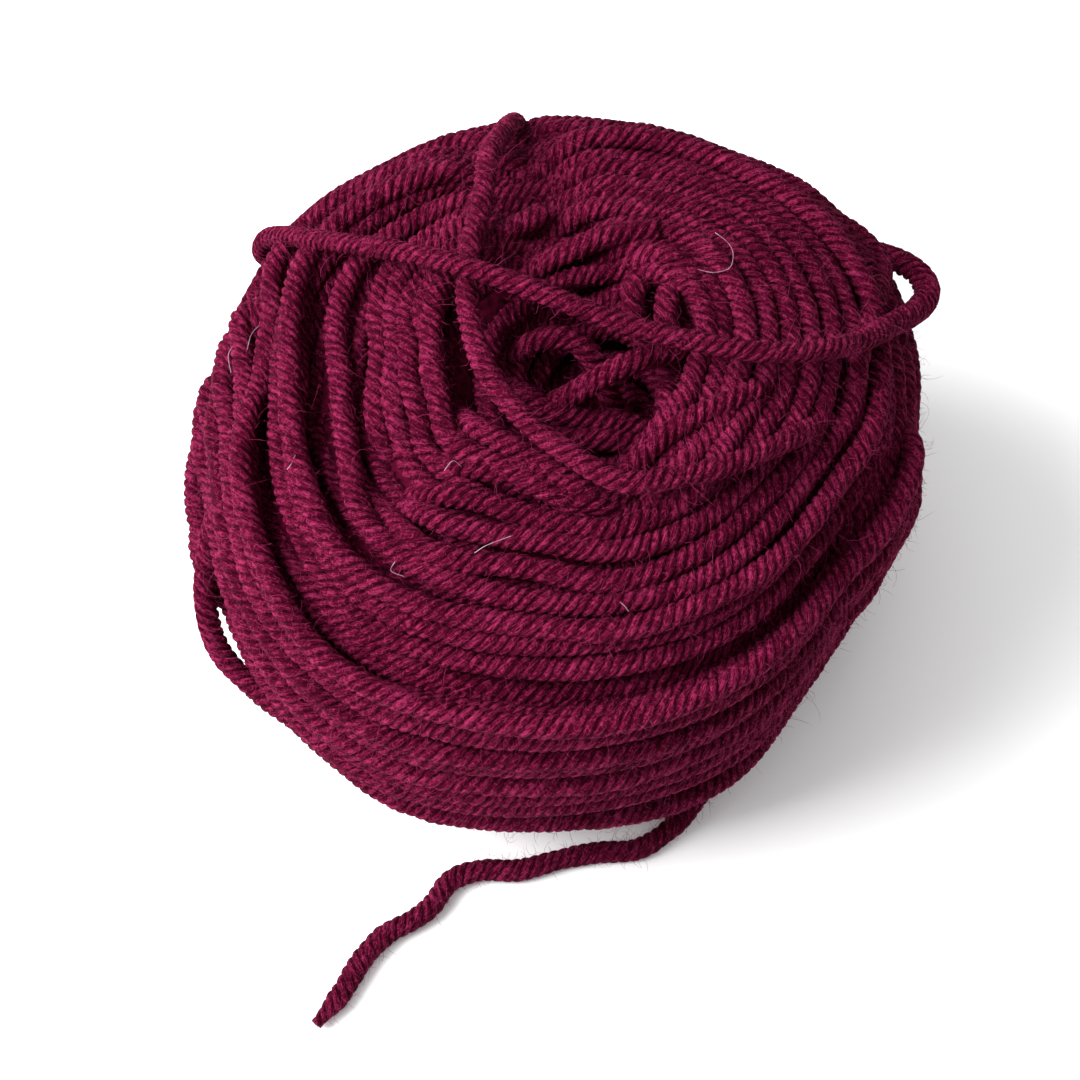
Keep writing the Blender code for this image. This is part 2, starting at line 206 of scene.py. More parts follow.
# Single turns, their middle lines in mm: x, y, z. Those in the open middle come first.
singleTurns = [
    {"name": "arcUnderCrossing", "points": [
        (-6.5, -0.5, 57.0), (-5.0, -0.5, 61.0), (-2.0, 0.0, 63.5), (1.5, 0.0, 63.5), (4.5, -1.5, 61.0),
        (7.0, -4.5, 55.0)]},
    {"name": "leftWall", "points": [
        (-10.0, 0.0, 60.0), (-6.0, -4.0, 60.0), (-1.0, -8.0, 60.5), (4.0, -8.5, 59.0), (10.0, -8.5, 57.0),
        (15.0, -12.0, 53.5)]},
    {"name": "knuckle", "points": [
        (-2.5, -9.0, 57.0), (-1.5, -7.5, 59.5), (3.0, -6.5, 63.0), (7.0, -5.0, 65.0), (12.0, -2.5, 64.0),
        (17.0, 0.0, 62.0), (23.0, 4.5, 60.5)]},
    {"name": "frontLow", "points": [
        (-2.5, -8.5, 56.0), (1.5, -10.0, 58.0), (5.0, -10.5, 58.0), (8.5, -10.5, 57.0), (12.5, -9.5, 54.5)]},
    {"name": "rightStub", "points": [
        (14.5, -1.0, 55.0), (13.5, -3.5, 58.0), (13.0, -6.0, 60.5), (13.5, -8.5, 60.5), (14.5, -10.0, 57.5)]},
    {"name": "backArc", "points": [
        (6.5, 10.5, 60.0), (8.0, 10.0, 63.5), (12.5, 10.5, 66.0), (17.0, 7.5, 64.5), (16.5, 3.0, 61.0),
        (13.0, -1.0, 55.0)]},
    {"name": "knob", "points": [
        (12.5, 9.0, 59.0), (11.0, 9.5, 62.5), (9.5, 7.0, 64.5), (9.0, 4.5, 64.5), (10.0, 2.5, 62.0),
        (12.0, 1.5, 58.5)]},
    {"name": "backStub", "points": [
        (14.0, 10.0, 59.0), (13.5, 7.0, 63.5), (13.0, 4.0, 65.0), (13.0, 1.0, 64.0), (13.5, -1.5, 60.5)]},
    {"name": "backLeft", "points": [
        (-6.5, 6.5, 58.0), (-4.0, 9.0, 63.0), (1.5, 11.0, 66.0), (7.0, 13.0, 66.5), (12.0, 14.0, 66.0)]},
    {"name": "rightWall", "points": [
        (5.5, -21.0, 60.0), (9.5, -16.5, 64.0), (14.0, -13.0, 65.0), (20.0, -9.5, 65.0),
        (23.5, -7.5, 64.5)]},
    {"name": "belowRim", "points": [
        (-11.5, -10.5, 63.0), (-9.0, -14.0, 66.0), (-4.0, -17.0, 66.0), (2.0, -20.5, 64.5),
        (5.0, -22.0, 62.5), (7.5, -23.0, 60.0)]},
    {"name": "secondRim", "points": [
        (-1.5, 17.0, 65.5), (-8.0, 12.5, 66.0), (-13.5, 6.5, 66.5), (-15.0, -1.0, 66.5), (-14.0, -9.0, 66.0),
        (-12.5, -15.0, 65.5), (-7.5, -18.0, 65.5), (-1.0, -21.5, 65.0), (4.5, -24.0, 61.0)]},
    {"name": "leftLoose", "points": [
        (-38.5, -6.0, 44.0), (-42.5, -11.0, 40.5), (-44.5, -17.5, 34.0), (-43.5, -23.0, 27.5),
        (-39.0, -27.5, 24.5), (-32.0, -33.0, 24.0), (-24.0, -38.5, 22.0), (-15.0, -40.0, 18.0)]},
    {"name": "rightEdge", "points": [
        (26.0, 30.5, 51.5), (32.0, 26.5, 53.5), (38.0, 23.5, 52.0), (41.0, 20.0, 51.5), (41.0, 16.0, 53.0),
        (39.0, 9.0, 57.0), (36.5, 1.0, 59.5), (35.5, -6.0, 57.0), (34.0, -10.5, 53.0)]},
    {"name": "rimTurn", "girth": [0.95], "points": [
        (-4.5, 41.0, 50.0), (-5.5, 38.0, 56.0), (-7.0, 31.0, 62.5), (-8.5, 24.5, 66.5), (-9.0, 17.0, 68.5),
        (-10.5, 8.0, 70.0), (-10.5, 0.0, 70.0), (-8.5, -8.0, 70.0), (-4.0, -14.5, 69.5), (1.0, -19.0, 69.5),
        (7.0, -22.5, 69.0), (13.0, -21.5, 68.0), (20.0, -18.5, 66.0), (27.0, -13.5, 63.0),
        (32.0, -8.0, 58.5)]},
    {"name": "crossingTurn", "girth": [0.92, 0.88, 0.86, 0.86, 0.86, 0.94, 1.15, 1.0], "points": [
        (-37.0, 24.5, 44.0), (-38.0, 23.0, 49.0), (-35.5, 21.0, 55.0), (-27.0, 13.0, 65.0),
        (-18.0, 8.0, 70.0), (-10.0, 4.0, 72.5), (-2.0, 1.0, 72.0), (7.0, -2.5, 71.0),
        (16.0, -4.5, 70.0), (24.0, -5.0, 68.5), (30.0, -3.5, 66.5), (36.0, 0.0, 63.0),
        (41.0, 6.0, 57.5), (45.0, 11.0, 53.0), (47.0, 15.0, 51.0), (46.0, 18.5, 50.5),
        (43.0, 21.0, 50.0), (39.5, 24.0, 47.5), (35.5, 26.5, 45.0)]},
]


def softNoise(count, wavelength):
    # a smooth random line with values of about -1 to 1
    knots = random.normal(0.0, 0.6, max(int(count / wavelength) + 4, 5))
    return smoothCurve(knots[:, None], np.linspace(0, 1, count))[:, 0]


def bandLines(row):
    # the middle lines of a band's turns, on the ball's form
    first, last = edgeDirections(row["first"]), edgeDirections(row["last"])
    shares = np.linspace(0, 1, 240, endpoint=not row["ring"])
    start, end = (unit(smoothCurve(edge, shares, row["ring"])) for edge in (first, last))
    width = np.linalg.norm((end - start) * surfaceDistance(start)[:, None], axis=1)
    lines = []
    for turn in range(row["turns"]):
        spread = random.uniform(-yarn["spacingSpread"], yarn["spacingSpread"])
        across = turn / (row["turns"] - 1) + spread / (row["turns"] - 1)
        stray = softNoise(len(shares), 40) * yarn["wander"] / np.maximum(width, 6 * mm)
        if row["ring"]:
            stray *= np.sin(np.pi * shares)
        lines.append(unit(start + (end - start) * (across + stray)[:, None]))
    return lines


def settle(directions, base, tree, ring):
    # lifts a turn over the ones beneath it and lets its tension bridge the hollows between them
    reach = yarn["diameter"] * yarn["softness"]
    normals = outwardNormals(directions)
    surface = ballCentre + directions * surfaceDistance(directions)[:, None]
    height = base + softNoise(len(directions), 18) * yarn["uneven"]
    if tree is not None:
        for index, (place, normal) in enumerate(zip(surface, normals)):
            for found, item, distance in tree.find_range(Vector(place + normal * base), 2.6 * reach):
                offset = np.array(found) - place
                level = float(offset @ normal)
                sideways = math.sqrt(max(float(offset @ offset) - level * level, 0.0))
                if sideways < reach:
                    rise = math.sqrt(reach * reach - sideways * sideways) * yarn["seat"]
                    height[index] = max(height[index], level + rise)
    lifted = height.copy()
    span = yarn["bridge"]
    padded = np.pad(lifted, span, mode="wrap" if ring else "edge")
    highest = np.array([padded[i:i + 2 * span + 1].max() for i in range(len(lifted))])
    padded = np.pad(highest, span, mode="wrap" if ring else "edge")
    closed = np.array([padded[i:i + 2 * span + 1].min() for i in range(len(lifted))])
    closed = yarn["bridging"] * closed + (1 - yarn["bridging"]) * lifted
    weights = np.exp(-0.5 * (np.arange(-span, span + 1) / yarn["smoothing"]) ** 2)
    padded = np.pad(closed, span, mode="wrap" if ring else "edge")
    smooth = np.array([padded[i:i + 2 * span + 1] @ weights for i in range(len(lifted))]) / weights.sum()
    if not ring:
        # the ends dive under their neighbours
        count = len(smooth)
        near = np.minimum(np.arange(count), np.arange(count)[::-1]) / yarn["diveLength"]
        ease = np.clip(near, 0, 1)
        smooth -= (1 - ease * ease * (3 - 2 * ease)) * yarn["diveDepth"]
    return surface + normals * smooth[:, None]


turns = []          # each with its name, middle line, whether it is a ring, and its own shade
laid = []           # every point laid so far


def layTree():
    if not laid:
        return None
    points = np.vstack(laid)
    tree = KDTree(len(points))
    for index, point in enumerate(points):
        tree.insert(point, index)
    tree.balance()
    return tree


for row in bandTable:
    tree = layTree()
    fresh = []
    lifts = row.get("lifts", [0.0] * row["turns"])
    for line, lift in zip(bandLines(row), lifts):
        surface = ballCentre + line * surfaceDistance(line)[:, None]
        even = resampled(surface, 1.0 * mm, row["ring"])
        directions = unit(even - ballCentre)
        base = (row["base"] - 1.5 + lift + random.uniform(-0.6, 0.5)) * mm
        middleLine = settle(directions, base, tree, row["ring"])
        fresh.append(middleLine)
        turns.append({"name": row["name"], "line": middleLine, "ring": row["ring"],
                      "shade": random.uniform(-1, 1)})
    laid.extend(fresh)
    print("band", row["name"], "laid,", round(sum(len(line) for line in fresh) / 1000, 2), "m")

# The wall of the open middle: slack rings of yarn, each lower and tighter
middleWall = {
    "rings": 6,
    "topRadius": 14.2 * mm,
    "bottomRadius": 6.0 * mm,
    "topDrop": 4.6 * mm,
    "bottomDrop": 15.0 * mm,
    "stretch": 1.04,        # how much longer it is from front to back than across
}
for ring in range(middleWall["rings"]):
    share = ring / (middleWall["rings"] - 1)
    radius = middleWall["topRadius"] + (middleWall["bottomRadius"] - middleWall["topRadius"]) * share
    drop = middleWall["topDrop"] + (middleWall["bottomDrop"] - middleWall["topDrop"]) * share
    angle = np.linspace(0, 2 * np.pi, 90, endpoint=False)
    radii = radius * (1 + 0.05 * np.sin(2 * angle + ring * 1.7) + 0.03 * np.sin(3 * angle + ring))
    level = ballForm["height"] - drop + 1.0 * mm * np.sin(angle + ring * 2.1)
    circle = np.stack([ballForm["middle"][0] + radii * np.cos(angle),
                       ballForm["middle"][1] + radii * np.sin(angle) * middleWall["stretch"], level], axis=1)
    turns.append({"name": "wall", "ring": True, "shade": random.uniform(-1, 1),
                  "line": resampled(circle, 1.0 * mm, True)})

for row in singleTurns:
    smooth = smoothCurve(np.array(row["points"]) * mm, np.linspace(0, 1, 300))
    turns.append({"name": row["name"], "line": resampled(smooth, 1.0 * mm), "ring": False, "shade": 0.25,
                  "girth": row.get("girth", [1.0])})
laidLength = round(sum(len(turn["line"]) for turn in turns) / 1000, 2)
print("turns laid:", len(turns), "with", laidLength, "m of yarn")


def sweepFrames(line, closed):
    # a side direction for each ring, carried along the line without twisting
    if closed:
        tangents = unit(np.roll(line, -1, axis=0) - np.roll(line, 1, axis=0))
    else:
        tangents = unit(np.gradient(line, axis=0))
    sides = np.empty_like(line)
    start = np.cross(tangents[0], [0.0, 0.0, 1.0])
    if np.linalg.norm(start) < 0.1:
        start = np.cross(tangents[0], [1.0, 0.0, 0.0])
    side = start / np.linalg.norm(start)
    for index, tangent in enumerate(tangents):
        side = side - tangent * float(side @ tangent)
        side = side / np.linalg.norm(side)
        sides[index] = side
    return tangents, sides


def sweepYarn(turnList, name, spacing, endShape=None):
    # one mesh of plied strands: a lobed section that turns along each line
    places, polygons, coordinates, shades = [], [], [], []
    offset = 0
    around = yarn["ringPoints"]
    angles = np.arange(around) / around * 2 * np.pi
    lobe = np.abs(np.cos(angles * yarn["plies"] / 2)) ** 0.55
    section = yarn["diameter"] / 2 * (1 - yarn["grooveDepth"] + yarn["grooveDepth"] * lobe)
    for turn in turnList:
        closed = turn["ring"]
        line = resampled(turn["line"], spacing, closed)
        count = len(line)
        tangents, sides = sweepFrames(line, closed)
        ups = np.cross(tangents, sides)
        step = np.linalg.norm(np.diff(np.vstack([line, line[:1]]) if closed else line, axis=0), axis=1)
        along = np.concatenate([[0.0], np.cumsum(step)])[:count]
        pitch = yarn["plyPitch"] * (1 + yarn["pitchSpread"] * random.uniform(-1, 1))
        twist = -2 * np.pi * along / pitch
        if closed:
            # the last ring has to meet the first at the same angle of the plies
            carried = sides[-1] - tangents[0] * float(sides[-1] @ tangents[0])
            gap = math.atan2(float(np.cross(carried, sides[0]) @ tangents[0]), float(carried @ sides[0]))
            whole = step.sum()
            lobeAngle = 2 * np.pi / yarn["plies"]
            total = -2 * np.pi * whole / pitch
            total = round((total - gap) / lobeAngle) * lobeAngle + gap
            twist = total * along / whole
        swell = softNoise(count, 2.2 * mm / spacing) * yarn["girthSpread"]
        if closed:
            swell *= np.sin(np.pi * np.arange(count) / count)
        thickness = turn.get("girth", [1.0])
        girth = np.interp(along / along[-1], np.linspace(0, 1, len(thickness)), thickness)
        girth = girth * (1 + swell)
        if endShape is not None:
            girth = girth * endShape(along, along[-1])
        turned = angles[None, :] + twist[:, None]
        radius = section[None, :] * girth[:, None]
        ring = (line[:, None, :] + sides[:, None, :] * (np.cos(turned) * radius)[..., None]
                + ups[:, None, :] * (np.sin(turned) * radius)[..., None])
        ring[..., 2] = np.maximum(ring[..., 2], 0.0)    # pressed flat where it lies on the table
        places.append(ring.reshape(-1, 3))
        shades.append(np.full(count * around, turn["shade"]))
        shift = 0
        if closed:
            lobeSteps = int(round((total - gap) / (2 * np.pi / around))) % around
            shift = lobeSteps
        for index in range(count if closed else count - 1):
            after = (index + 1) % count
            wrap = shift if closed and after == 0 else 0
            spots = np.arange(around)
            nextSpots = (spots + 1) % around
            quad = np.stack([offset + index * around + spots, offset + index * around + nextSpots,
                             offset + after * around + (nextSpots + wrap) % around,
                             offset + after * around + (spots + wrap) % around], axis=1)
            polygons.append(quad)
            # how often the plies have gone round so far: in the first coordinate as a length of yarn,
            # and taken off the second, which is the angle round the strand
            low = -twist[index] / (2 * np.pi)
            high = -(total if after == 0 else twist[after]) / (2 * np.pi)
            left, right = spots / around, (spots + 1) / around
            lows, highs = np.full(around, low), np.full(around, high)
            corners = np.stack([lows, left - low, lows, right - low,
                                highs, right - high, highs, left - high], axis=1)
            coordinates.append(corners.reshape(-1, 2))
        if not closed:
            for index, order in ((0, slice(None, None, -1)), (count - 1, slice(None))):
                cap = (offset + index * around + np.arange(around))[order]
                middle = len(cap) // 2
                # the cap is a row of quads across the ring
                for spot in range(middle - 1):
                    facing = around - 1 - spot
                    quad = np.array([[cap[spot], cap[spot + 1], cap[facing - 1], cap[facing]]])
                    polygons.append(quad)
                    coordinates.append(np.full((4, 2), [-twist[index] / (2 * np.pi), 0.0]))
        offset += count * around
    points = np.vstack(places)
    quads = np.vstack(polygons)
    mesh = bpy.data.meshes.new(name)
    mesh.vertices.add(len(points))
    mesh.vertices.foreach_set("co", points.ravel())
    mesh.loops.add(len(quads) * 4)
    mesh.loops.foreach_set("vertex_index", quads.ravel())
    mesh.polygons.add(len(quads))
    mesh.polygons.foreach_set("loop_start", np.arange(len(quads)) * 4)
    mesh.update(calc_edges=True)
    mesh.validate()
    along = mesh.uv_layers.new(name="alongYarn")
    along.data.foreach_set("uv", np.vstack(coordinates).ravel())
    shade = mesh.attributes.new("shade", "FLOAT", "POINT")
    shade.data.foreach_set("value", np.concatenate(shades))
    mesh.shade_smooth()
    piece = bpy.data.objects.new(name, mesh)
    bpy.context.scene.collection.objects.link(piece)
    return piece


windings = {
    "coveredTurns": (["under", "fill", "wall"], 1.00 * mm),
    "waistTurns": (["waist"], 0.72 * mm),
    "backTurns": (["back", "shoulder", "edge"], 0.62 * mm),
    "frontTurns": (["front", "outer"], 0.55 * mm),
    "upperTurns": (["left", "jay", "middle", "sweep", "right"] + [row["name"] for row in singleTurns],
                   0.54 * mm),
}
pieces = {}
for name, (bands, spacing) in windings.items():
    pieces[name] = sweepYarn([turn for turn in turns if turn["name"] in bands], name, spacing)
    print(name, len(pieces[name].data.polygons) * 2, "triangles")

# The heart under the turns, coloured dark as painted shade for the shaded yarn deep inside

heart = {"depth": 4.4 * mm, "segments": 64, "rings": 40}
bpy.ops.mesh.primitive_uv_sphere_add(segments=heart["segments"], ring_count=heart["rings"], radius=1.0)
heartPiece = bpy.context.object
heartPiece.name = "heart"
co = np.empty(len(heartPiece.data.vertices) * 3)
heartPiece.data.vertices.foreach_get("co", co)
directions = unit(co.reshape(-1, 3))
points = ballCentre + directions * (surfaceDistance(directions) - heart["depth"])[:, None]
away = np.hypot(points[:, 0] - ballForm["middle"][0], points[:, 1] - ballForm["middle"][1])
share = (ballForm["rimRadius"] + 2 * mm - away) / (ballForm["rimRadius"] - ballForm["floorRadius"])
share = np.clip(share, 0, 1)
hollow = ballForm["depth"] * share * share * (3 - 2 * share)
points[:, 2] -= np.where(points[:, 2] > ballCentre[2], hollow, 0)
heartPiece.data.vertices.foreach_set("co", points.ravel())
heartPiece.data.update()
bpy.ops.object.shade_smooth()
bpy.ops.object.select_all(action="DESELECT")

# The loose tail

# mm: where the yarn leaves the underside of the ball, then along the table
tail = {
    "route": [(22.5, -28.5, 5.0), (21.0, -31.0, 3.0), (19.0, -34.0, 1.8), (15.5, -38.0, 1.5),
              (11.0, -41.0, 1.5), (5.5, -41.5, 1.5), (0.5, -42.5, 1.5), (-5.0, -44.0, 1.5), (-10.0, -44.0, 1.5),
              (-14.0, -45.5, 1.5), (-16.5, -49.0, 1.5), (-19.0, -51.0, 1.5), (-22.5, -53.0, 1.5),
              (-25.5, -56.5, 1.5), (-28.0, -61.0, 1.5), (-31.0, -65.0, 1.5)],
    "taper": 5.0 * mm,     # how much of the end thins out
    "endGirth": 0.55,
}
tailLine = smoothCurve(np.array(tail["route"]) * mm, np.linspace(0, 1, 400))
tailLine = resampled(tailLine, 0.5 * mm)


def thinEnd(along, length):
    near = np.clip((length - along) / tail["taper"], 0, 1)
    return tail["endGirth"] + (1 - tail["endGirth"]) * near * near * (3 - 2 * near)


tailPiece = sweepYarn([{"name": "tail", "line": tailLine, "ring": False, "shade": 0.0}], "tailYarn",
                      0.5 * mm, thinEnd)

# Wool

wool = {
    "dark": (0.016, 0.0001, 0.0030),
    "body": (0.078, 0.0011, 0.0155),
    # bright is partly lighter fibres and partly painted glints on the fibres
    "bright": (0.30, 0.021, 0.084),
    "fuzz": (0.33, 0.031, 0.106),
    "contrast": 2.0,
    "grooveShade": 0.26,
    "wisps": 0.36,          # how much the loose fibres lighten the surface
    "relief": 0.28 * mm,
    "slant": 0.35,          # 0 follows the plies, 1 runs straight along the yarn
    "fineStreaks": (9.0, 6.5),      # how closely they lie round the yarn and along it
    "coarseStreaks": (3.6, 3.0),
    "fineShare": 0.62,
    "patchScale": 190.0,
    "wispScales": (620.0, 980.0),
    "wispThinness": (26.0, 17.0),
    "roughness": 0.85,
    "shine": 0.03,
    "sheen": 0.03,
}


def addSocket(group, name, kind, value=None, output=False):
    socket = group.interface.new_socket(name=name, in_out="OUTPUT" if output else "INPUT", socket_type=kind)
    if value is not None:
        socket.default_value = value
    return socket


def mathMaker(nodes, links):
    # a function that adds one math node to the tree and gives its result
    def addMath(kind, *values):
        node = nodes.new("ShaderNodeMath")
        node.operation = kind
        for socket, value in zip(node.inputs, values):
            if isinstance(value, (int, float)):
                socket.default_value = value
            else:
                links.new(value, socket)
        return node.outputs[0]

    return addMath


def makeFibreGroup():
    # fibres that run along the yarn over its plies, and a mask of the grooves between the plies, for their
    # relief and for the painted shade in them
    group = bpy.data.node_groups.new("woolFibres", "ShaderNodeTree")
    addSocket(group, "Plies", "NodeSocketFloat", 4.0)
    addSocket(group, "Fibre slant", "NodeSocketFloat", 0.35)
    addSocket(group, "Fibre", "NodeSocketFloat", output=True)
    addSocket(group, "Groove", "NodeSocketFloat", output=True)
    addSocket(group, "Patch", "NodeSocketFloat", output=True)
    addSocket(group, "Wisps", "NodeSocketFloat", output=True)
    nodes, links = group.nodes, group.links
    addMath = mathMaker(nodes, links)
    inputs, outputs = nodes.new("NodeGroupInput"), nodes.new("NodeGroupOutput")
    along = nodes.new("ShaderNodeUVMap")
    along.uv_map = "alongYarn"
    split = nodes.new("ShaderNodeSeparateXYZ")
    links.new(along.outputs["UV"], split.inputs["Vector"])
    shade = nodes.new("ShaderNodeAttribute")
    shade.attribute_name = "shade"

    # the angle on the plies, and the angle that follows the fibres, which lie flatter than the plies
    plyTurn = addMath("ADD", split.outputs["Y"], split.outputs["X"])
    slanted = addMath("MULTIPLY", split.outputs["X"], inputs.outputs["Fibre slant"])
    fibreTurn = addMath("SUBTRACT", plyTurn, slanted)
    fibreAngle = addMath("MULTIPLY", fibreTurn, 2 * math.pi)
    length = addMath("ADD", split.outputs["X"], addMath("MULTIPLY", shade.outputs["Fac"], 53.0))

    # the plies aren't all alike: their grooves wander a little along the yarn
    uneven = nodes.new("ShaderNodeTexNoise")
    uneven.noise_dimensions = "1D"
    uneven.inputs["Scale"].default_value = 1.3
    links.new(length, uneven.inputs["W"])
    wander = addMath("MULTIPLY_ADD", uneven.outputs["Fac"], 0.22, -0.11)
    plyAngle = addMath("MULTIPLY", addMath("ADD", plyTurn, wander), 2 * math.pi)

    def streaks(width, stretch, detail):
        # noise drawn out along the fibres; it closes round the strand without a seam
        combine = nodes.new("ShaderNodeCombineXYZ")
        links.new(addMath("MULTIPLY", addMath("COSINE", fibreAngle), width), combine.inputs["X"])
        links.new(addMath("MULTIPLY", addMath("SINE", fibreAngle), width), combine.inputs["Y"])
        links.new(addMath("MULTIPLY", length, stretch), combine.inputs["Z"])
        noise = nodes.new("ShaderNodeTexNoise")
        noise.inputs["Scale"].default_value = 1.0
        noise.inputs["Detail"].default_value = detail
        noise.inputs["Roughness"].default_value = 0.6
        noise.inputs["Distortion"].default_value = 0.35
        links.new(combine.outputs["Vector"], noise.inputs["Vector"])
        return noise.outputs["Fac"]

    fine, coarse = streaks(*wool["fineStreaks"], 2.0), streaks(*wool["coarseStreaks"], 2.0)
    both = addMath("ADD", addMath("MULTIPLY", fine, wool["fineShare"]),
                   addMath("MULTIPLY", coarse, 1 - wool["fineShare"]))
    links.new(both, outputs.inputs["Fibre"])
    wave = addMath("COSINE", addMath("MULTIPLY", plyAngle, inputs.outputs["Plies"]))
    groove = addMath("POWER", addMath("MULTIPLY_ADD", wave, -0.5, 0.5), 3.0)
    links.new(groove, outputs.inputs["Groove"])
    place = nodes.new("ShaderNodeTexCoord")
    patch = nodes.new("ShaderNodeTexNoise")
    patch.inputs["Scale"].default_value = wool["patchScale"]
    patch.inputs["Detail"].default_value = 3.0
    links.new(place.outputs["Object"], patch.inputs["Vector"])
    blend = addMath("MULTIPLY_ADD", shade.outputs["Fac"], 0.16, patch.outputs["Fac"])
    links.new(blend, outputs.inputs["Patch"])

    def wisps(scale, thinness, shift):
        # thin curly lines, like fibres that lie loose on the surface
        moved = nodes.new("ShaderNodeVectorMath")
        moved.inputs[1].default_value = (shift, shift * 0.7, -shift)
        links.new(place.outputs["Object"], moved.inputs[0])
        noise = nodes.new("ShaderNodeTexNoise")
        noise.inputs["Scale"].default_value = scale
        noise.inputs["Detail"].default_value = 1.0
        noise.inputs["Distortion"].default_value = 0.9
        links.new(moved.outputs["Vector"], noise.inputs["Vector"])
        apart = addMath("ABSOLUTE", addMath("SUBTRACT", noise.outputs["Fac"], 0.5))
        return addMath("MAXIMUM", addMath("MULTIPLY_ADD", apart, -thinness, 1.0), 0.0)

    layers = [wisps(scale, thinness, shift)
              for scale, thinness, shift in zip(wool["wispScales"], wool["wispThinness"], (0.0, 0.31))]
    links.new(addMath("MAXIMUM", *layers), outputs.inputs["Wisps"])
    return group


fibreGroup = makeFibreGroup()


def makeWool(name, brightness=1.0):
    material = bpy.data.materials.new(name)
    material.use_nodes = True
    nodes, links = material.node_tree.nodes, material.node_tree.links
    shader = nodes["Principled BSDF"]
    fibres = nodes.new("ShaderNodeGroup")
    fibres.node_tree = fibreGroup
    fibres.inputs["Plies"].default_value = yarn["plies"]
    fibres.inputs["Fibre slant"].default_value = wool["slant"]

    addMath = mathMaker(nodes, links)
    patchTone = addMath("MULTIPLY_ADD", fibres.outputs["Patch"], 0.35, -0.175)
    offMiddle = addMath("SUBTRACT", fibres.outputs["Fibre"], 0.5)
    fibreTone = addMath("MULTIPLY_ADD", offMiddle, wool["contrast"], 0.5)
    # painted shade: the colour is darkened in the grooves between the plies
    shadedGrooveTone = addMath("MULTIPLY_ADD", fibres.outputs["Groove"], -wool["grooveShade"], fibreTone)
    # the ramp's light end is partly lighter fibres and partly painted glints; its dark end is partly dark
    # fibres and partly the painted shade of the grooves
    ramp = nodes.new("ShaderNodeValToRGB")
    for element, (position, colour) in zip((ramp.color_ramp.elements[0], ramp.color_ramp.elements[1]),
                                           ((0.08, wool["dark"]), (0.95, wool["bright"]))):
        element.position = position
        element.color = (*[value * brightness for value in colour], 1)
    centre = ramp.color_ramp.elements.new(0.5)
    centre.color = (*[value * brightness for value in wool["body"]], 1)
    looseTone = addMath("MULTIPLY_ADD", fibres.outputs["Wisps"], wool["wisps"], patchTone)
    links.new(addMath("ADD", shadedGrooveTone, looseTone), ramp.inputs["Fac"])
    links.new(ramp.outputs["Color"], shader.inputs["Base Color"])
    bump = nodes.new("ShaderNodeBump")
    bump.inputs["Strength"].default_value = 1.0
    bump.inputs["Distance"].default_value = wool["relief"]
    plyHeight = addMath("MULTIPLY_ADD", fibres.outputs["Groove"], -1.1, fibreTone)
    links.new(addMath("MULTIPLY_ADD", fibres.outputs["Wisps"], 0.35, plyHeight), bump.inputs["Height"])
    links.new(bump.outputs["Normal"], shader.inputs["Normal"])
    shader.inputs["Roughness"].default_value = wool["roughness"]
    shader.inputs["Specular IOR Level"].default_value = wool["shine"]
    shader.inputs["Sheen Weight"].default_value = wool["sheen"]
    shader.inputs["Sheen Roughness"].default_value = 0.5
    shader.inputs["Sheen Tint"].default_value = (1.0, 0.12, 0.35, 1)
    return material


def makePlain(name, darker, lighter, scale, roughness=0.9):
    # a colour that drifts softly between two tones
    material = bpy.data.materials.new(name)
    material.use_nodes = True
    nodes, links = material.node_tree.nodes, material.node_tree.links
    shader = nodes["Principled BSDF"]
    place = nodes.new("ShaderNodeTexCoord")
    noise = nodes.new("ShaderNodeTexNoise")
    noise.inputs["Scale"].default_value = scale
    noise.inputs["Detail"].default_value = 3.0
    ramp = nodes.new("ShaderNodeValToRGB")
    for element, (position, colour) in zip((ramp.color_ramp.elements[0], ramp.color_ramp.elements[1]),
                                           ((0.35, darker), (0.65, lighter))):
        element.position = position
        element.color = (*colour, 1)
    links.new(place.outputs["Object"], noise.inputs["Vector"])
    links.new(noise.outputs["Fac"], ramp.inputs["Fac"])
    links.new(ramp.outputs["Color"], shader.inputs["Base Color"])
    shader.inputs["Roughness"].default_value = roughness
    shader.inputs["Specular IOR Level"].default_value = 0.05
    return material


woolMaterial = makeWool("burgundyWool")
# painted shade: the tail's wool is the same wool made 0.9 as bright
shadedTailMaterial = makeWool("burgundyTailWool", 0.9)
# painted shade: the heart takes only the dark and middle wool tones, for the shaded yarn inside
heartShadeMaterial = makePlain("shadedWool", wool["dark"], wool["body"], 900.0)
for piece in pieces.values():
    piece.data.materials.append(woolMaterial)
tailPiece.data.materials.append(shadedTailMaterial)
heartPiece.data.materials.append(heartShadeMaterial)
print("wool made")

# Fuzz

fuzz = {
    "short": {"hairs": 17000, "length": 1.3 * mm, "thickness": 0.024 * mm, "segments": 2, "curl": 0.7},
    "long": {"hairs": 2600, "length": 2.9 * mm, "thickness": 0.024 * mm, "segments": 5, "curl": 0.6},
    "tail": {"hairs": 520, "length": 1.5 * mm, "thickness": 0.024 * mm, "segments": 3, "curl": 0.6},
    "spread": 0.5,          # how unlike each other the lengths are
}

